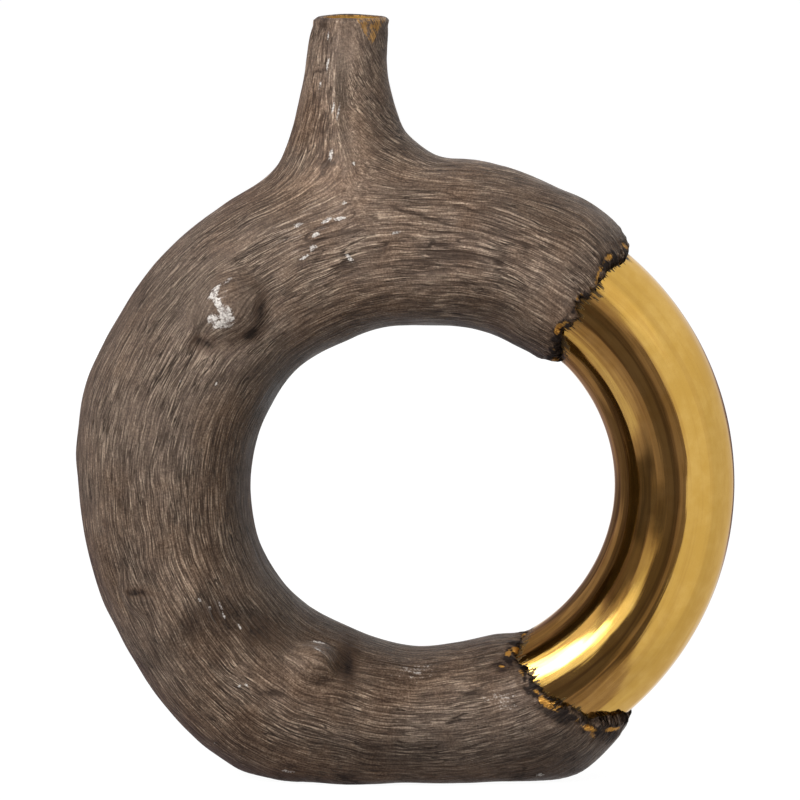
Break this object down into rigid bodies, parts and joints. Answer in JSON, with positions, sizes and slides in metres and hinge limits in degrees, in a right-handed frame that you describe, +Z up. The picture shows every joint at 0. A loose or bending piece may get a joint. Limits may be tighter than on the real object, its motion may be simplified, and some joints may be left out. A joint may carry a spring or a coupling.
{
  "type": "donut vase",
  "caption": "Ring-shaped flower vase with a wood-grain surface, a smooth gold arc on one side, a slim round neck off-centre at the top and a flat foot.",
  "frame": {"origin": "on the table surface, under the middle of the overall width and in the ring's mid plane", "axes": "+Z up out of the mouth, -Y out of the decorated front, +X to the viewer's right, towards the gold arc"},
  "size_m": [0.2661, 0.085, 0.31],
  "materials": {
    "wood_grain_stoneware": "matt painted clay, brushed with grain",
    "gold_glaze": "mirror-bright gold lustre over glaze",
    "gold_lustre": "worn gold lustre"
  },
  "bodies": {
    "root": {"front_shell": "wood_grain_stoneware", "back_shell": "wood_grain_stoneware", "gold_arc": "gold_glaze", "neck": "wood_grain_stoneware", "mouth_lining": "gold_lustre", "upper_stub": "wood_grain_stoneware", "lower_stub": "wood_grain_stoneware", "side_stub": "wood_grain_stoneware"}
  },
  "joints": []
}
